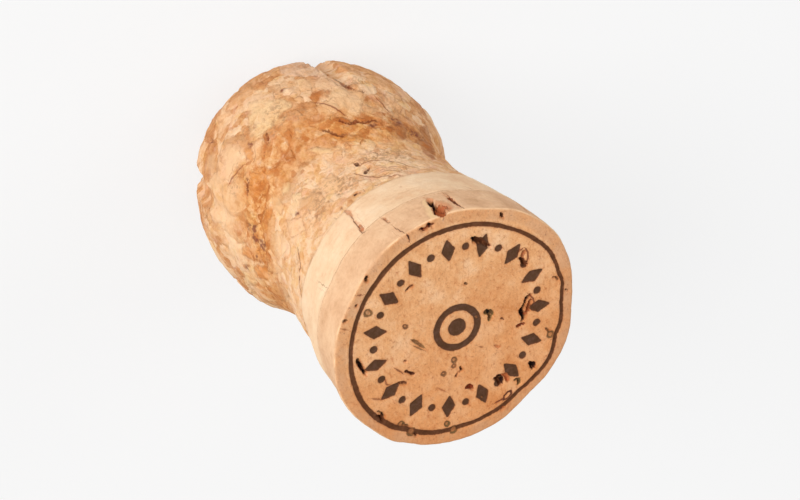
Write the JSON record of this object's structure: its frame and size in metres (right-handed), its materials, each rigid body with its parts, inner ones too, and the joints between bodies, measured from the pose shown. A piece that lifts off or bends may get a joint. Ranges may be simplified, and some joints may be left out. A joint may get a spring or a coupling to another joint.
{
  "type": "champagne cork",
  "caption": "Used mushroom-shaped sparkling wine stopper: a granulated cork head and neck with natural-cork discs glued to its flared, branded foot.",
  "frame": {"origin": "centre of the crown's flat, which the cork stands on", "axes": "+Z along the cork's axis from the crown to the branded foot face; -Y is the side that carries the chip and the long slits"},
  "size_m": [0.0316, 0.0316, 0.047],
  "materials": {
    "granulated_cork": "moulded cork granules, light tan with orange-brown patches and fine dark crevices, dry and matt",
    "pale_natural_cork": "cut natural cork, pale cream, smooth and matt with a few axial slits",
    "tan_natural_cork": "cut natural cork, orange tan, smooth and matt with dark pores and a burnt-in brown brand"
  },
  "bodies": {
    "root": {"granulated_body": "granulated_cork", "inner_disc": "pale_natural_cork", "end_disc": "tan_natural_cork"}
  },
  "joints": []
}
